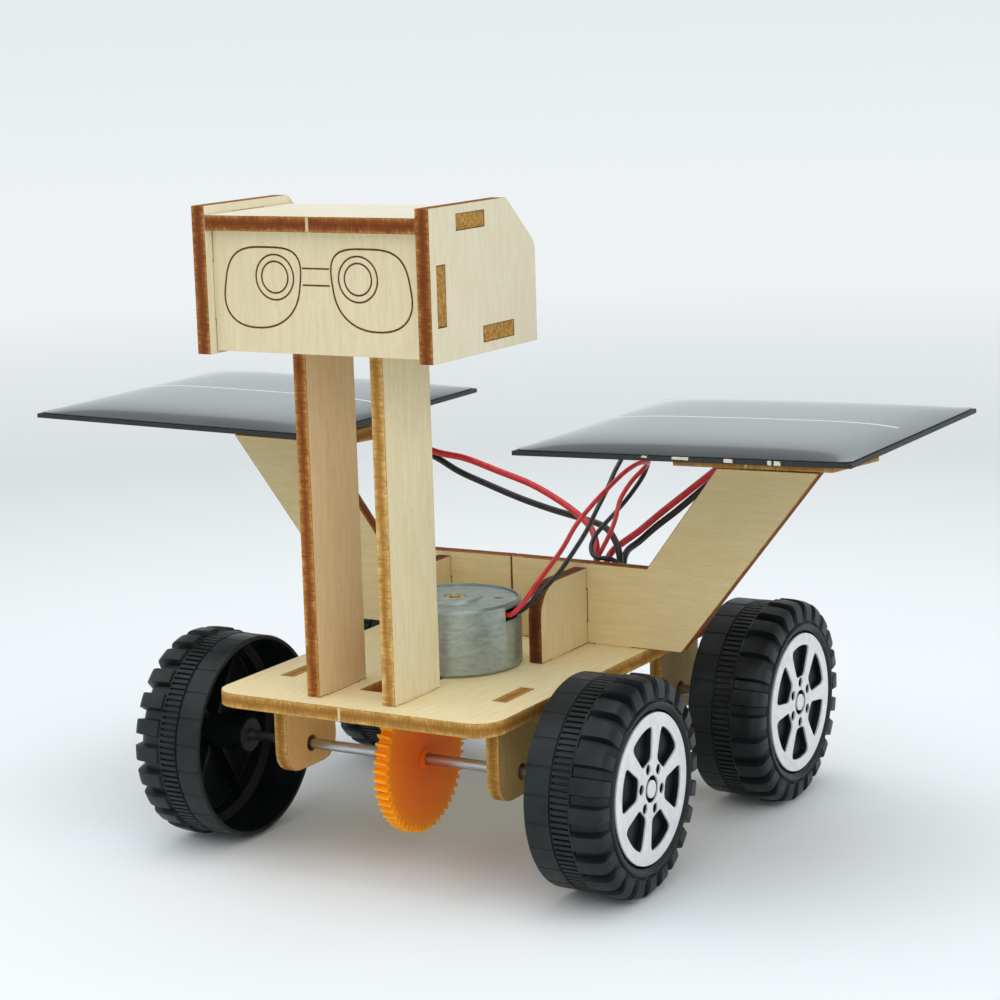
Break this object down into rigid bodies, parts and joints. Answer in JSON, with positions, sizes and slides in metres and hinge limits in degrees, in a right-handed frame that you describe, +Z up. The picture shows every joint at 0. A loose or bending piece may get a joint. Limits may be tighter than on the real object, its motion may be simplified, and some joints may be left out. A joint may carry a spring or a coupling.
{
  "type": "solar robot kit",
  "caption": "Laser-cut plywood rover with a box head on neck columns, raised wings carrying square solar panels, and a worm-driven front axle on hollow toy wheels.",
  "frame": {"origin": "on the ground, under the middle of the model's bounding box, with all four wheels standing on it", "axes": "+Z up, the front with the head towards -Y, +X to the side that the names call right, across the two solar panels"},
  "size_m": [0.1684, 0.107, 0.1195],
  "materials": {
    "plywood": "laser-cut plywood, pale faces and scorched edges",
    "foam": "closed-cell foam tape",
    "circuit_board": "black solder mask",
    "resin": "clear cast resin over dark cells",
    "wheel_black": "satin moulded",
    "foil": "hot-stamped silver foil",
    "zinc_plate": "zinc plated, rolled",
    "ferrite": "sintered",
    "brass": "turned",
    "core_steel": "stacked laminations",
    "copper": "enamelled winding wire",
    "steel": "ground",
    "gear_orange": "moulded",
    "wire_red": "insulated stranded wire",
    "wire_black": "insulated stranded wire",
    "cap_red": "soft vinyl",
    "cap_black": "soft vinyl"
  },
  "bodies": {
    "chassis": {"brush_left": "copper", "brush_right": "copper", "chassis_plate": "plywood", "foam_pad_left": "foam", "foam_pad_right": "foam", "front_axle_bracket_left": "plywood", "front_axle_bracket_right": "plywood", "head_bottom_panel": "plywood", "head_face_panel": "plywood", "head_side_left": "plywood", "head_side_right": "plywood", "head_top_panel": "plywood", "left_panel_wire_black": "wire_black", "left_panel_wire_red": "wire_red", "motor_can": "zinc_plate", "motor_end_plate": "zinc_plate", "motor_lower_bushing": "brass", "motor_magnet_ring": "ferrite", "motor_upper_bushing": "brass", "motor_wire_black": "wire_black", "motor_wire_red": "wire_red", "neck_column_left": "plywood", "neck_column_right": "plywood", "panel_mount_left": "plywood", "panel_mount_right": "plywood", "rear_axle_bracket_left": "plywood", "rear_axle_bracket_right": "plywood", "right_panel_wire_black": "wire_black", "right_panel_wire_red": "wire_red", "solar_board_left": "circuit_board", "solar_board_right": "circuit_board", "solar_epoxy_left": "resin", "solar_epoxy_right": "resin", "splice_cap_black": "cap_black", "splice_cap_red": "cap_red", "wing_gusset_left": "plywood", "wing_gusset_right": "plywood", "wing_half_left": "plywood", "wing_half_right": "plywood"},
    "front_wheelset": {"front_axle": "steel", "drive_gear": "gear_orange", "front_wheel_left": "wheel_black", "front_wheel_right": "wheel_black", "front_wheel_trim_left": "foil", "front_wheel_trim_right": "foil"},
    "rear_wheelset": {"rear_axle": "steel", "rear_wheel_left": "wheel_black", "rear_wheel_right": "wheel_black", "rear_wheel_trim_left": "foil", "rear_wheel_trim_right": "foil"},
    "motor_rotor": {"motor_shaft": "steel", "rotor_core": "core_steel", "rotor_coil_1": "copper", "rotor_coil_2": "copper", "rotor_coil_3": "copper", "commutator": "brass", "worm": "brass"}
  },
  "joints": [
    {"name": "front_axle_spin", "type": "hinge", "parent": "chassis", "child": "front_wheelset", "pos_m": [0, -0.0284, 0.0194], "axis": [1, 0, 0], "continuous": true},
    {"name": "rear_axle_spin", "type": "hinge", "parent": "chassis", "child": "rear_wheelset", "pos_m": [0, 0.0341, 0.0194], "axis": [1, 0, 0], "continuous": true},
    {"name": "motor_spin", "type": "hinge", "parent": "chassis", "child": "motor_rotor", "pos_m": [0.0012, -0.01265, 0.039], "axis": [0, 0, 1], "continuous": true}
  ],
  "couplings": [
    {"joint": "motor_spin", "follows": "front_axle_spin", "ratio": -52}
  ]
}
